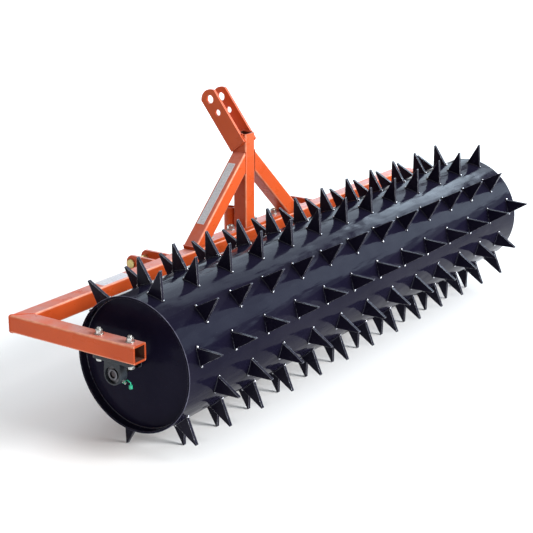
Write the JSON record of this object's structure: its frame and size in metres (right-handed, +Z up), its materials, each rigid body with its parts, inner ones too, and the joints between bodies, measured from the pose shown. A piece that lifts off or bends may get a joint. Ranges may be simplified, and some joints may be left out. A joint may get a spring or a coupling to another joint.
{
  "type": "drum aerator",
  "caption": "Tractor-mounted drum aerator: a square-tube frame with a three-point hitch mast carries a wide drum studded with pointed blades, rolling on pillow-block bearings.",
  "frame": {"origin": "on the ground, under the middle of the machine's outline", "axes": "+X along the axle towards the machine's right side, +Y forward towards the tractor, +Z up"},
  "size_m": [2.1186, 0.7282, 0.8106],
  "materials": {
    "orange_paint": "gloss",
    "black_paint": "gloss",
    "axle_steel": "satin",
    "bearing_steel": "satin",
    "cage_steel": "satin",
    "dark_casting": "satin",
    "zinc": "satin",
    "yellow_zinc": "satin",
    "green_plastic": "gloss",
    "label": "satin"
  },
  "bodies": {
    "frame": {"crossbar": "orange_paint", "side_arm_left": "orange_paint", "side_arm_right": "orange_paint", "mast_base_plate": "orange_paint", "mast_post": "orange_paint", "mast_brace_left": "orange_paint", "mast_brace_right": "orange_paint", "top_link_plate_left": "orange_paint", "top_link_plate_right": "orange_paint", "lower_lug_outer_left": "orange_paint", "lower_lug_inner_left": "orange_paint", "lower_lug_inner_right": "orange_paint", "lower_lug_outer_right": "orange_paint", "stand_sleeve": "orange_paint", "stand_weld_nut": "orange_paint", "lower_pin_left": "yellow_zinc", "lower_pin_right": "yellow_zinc", "hairpin_clips": "zinc", "stand_set_bolt": "zinc", "mast_bolts": "zinc", "mast_nuts": "zinc", "mast_washers": "zinc", "bearing_bolts": "zinc", "bearing_nuts": "zinc", "bearing_washers": "zinc", "bearing_housing_left": "dark_casting", "bearing_housing_right": "dark_casting", "bearing_outer_ring_left": "bearing_steel", "bearing_outer_ring_right": "bearing_steel", "bearing_shields": "cage_steel", "grease_fittings": "zinc", "grease_caps": "green_plastic", "brace_label": "label", "crossbar_label": "label"},
    "drum": {"drum_shell": "black_paint", "drum_end_left": "black_paint", "drum_end_right": "black_paint", "axle_shaft": "axle_steel", "blade_row_01": "black_paint", "blade_row_02": "black_paint", "blade_row_03": "black_paint", "blade_row_04": "black_paint", "blade_row_05": "black_paint", "blade_row_06": "black_paint", "blade_row_07": "black_paint", "blade_row_08": "black_paint", "blade_row_09": "black_paint", "blade_row_10": "black_paint", "blade_row_11": "black_paint", "blade_row_12": "black_paint", "bearing_inner_ring_left": "bearing_steel", "bearing_inner_ring_right": "bearing_steel", "grub_screws": "axle_steel"},
    "stand": {"stand_leg": "zinc", "stand_foot": "orange_paint"},
    "ball_set_left": {"bearing_balls_left": "bearing_steel", "bearing_cage_left": "cage_steel"},
    "ball_set_right": {"bearing_balls_right": "bearing_steel", "bearing_cage_right": "cage_steel"}
  },
  "joints": [
    {"name": "drum_spin", "type": "hinge", "parent": "frame", "child": "drum", "pos_m": [0, -0.10611, 0.258], "axis": [-1, 0, 0], "continuous": true},
    {"name": "ball_set_left_spin", "type": "hinge", "parent": "frame", "child": "ball_set_left", "pos_m": [-1.0339, -0.10611, 0.258], "axis": [-1, 0, 0], "continuous": true},
    {"name": "ball_set_right_spin", "type": "hinge", "parent": "frame", "child": "ball_set_right", "pos_m": [1.0339, -0.10611, 0.258], "axis": [-1, 0, 0], "continuous": true},
    {"name": "stand_slide", "type": "slide", "parent": "frame", "child": "stand", "axis": [0, 0, 1], "range_m": [0, 0.2]}
  ],
  "couplings": [
    {"joint": "ball_set_left_spin", "follows": "drum_spin", "ratio": 0.385},
    {"joint": "ball_set_right_spin", "follows": "drum_spin", "ratio": 0.385}
  ]
}
